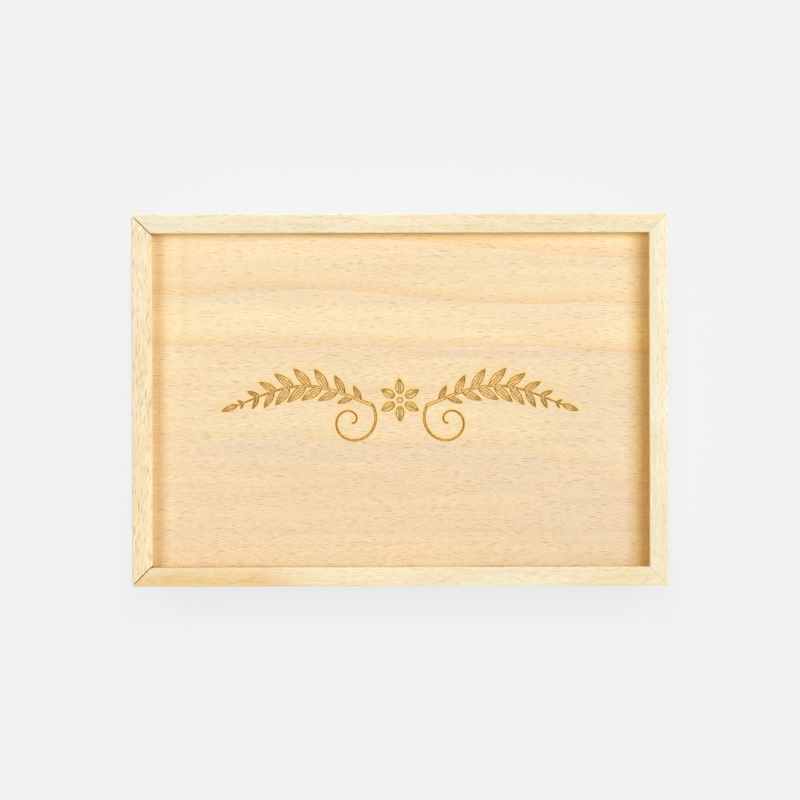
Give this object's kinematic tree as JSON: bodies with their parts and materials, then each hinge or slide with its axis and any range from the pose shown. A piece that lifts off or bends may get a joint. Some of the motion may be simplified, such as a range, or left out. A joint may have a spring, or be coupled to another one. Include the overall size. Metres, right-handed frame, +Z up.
{
  "type": "sliding lid wooden box",
  "caption": "Beech keepsake box with mitred walls, a panelled bottom and a sunk panel lid that slides out over its lower end wall.",
  "frame": {"origin": "middle of the footprint, on the surface the box stands on", "axes": "+X along the length, towards the closed end; +Y across the width, towards the back; +Z up. The lid slides out towards -X."},
  "size_m": [0.245, 0.17, 0.065],
  "materials": {
    "beech": "fine sanded, unvarnished beech",
    "lid_veneer": "fine sanded flat-cut beech face on plywood, with a burnt-in ornament",
    "bottom_veneer": "sanded beech face on plywood"
  },
  "bodies": {
    "box": {"front_wall": "beech", "back_wall": "beech", "closed_end_wall": "beech", "open_end_wall": "beech", "bottom_panel": "bottom_veneer"},
    "lid": {"lid_panel": "lid_veneer", "lid_end_rail": "beech"}
  },
  "joints": [
    {"name": "lid_slide", "type": "slide", "parent": "box", "child": "lid", "axis": [-1, 0, 0], "range_m": [0, 0.25]}
  ]
}
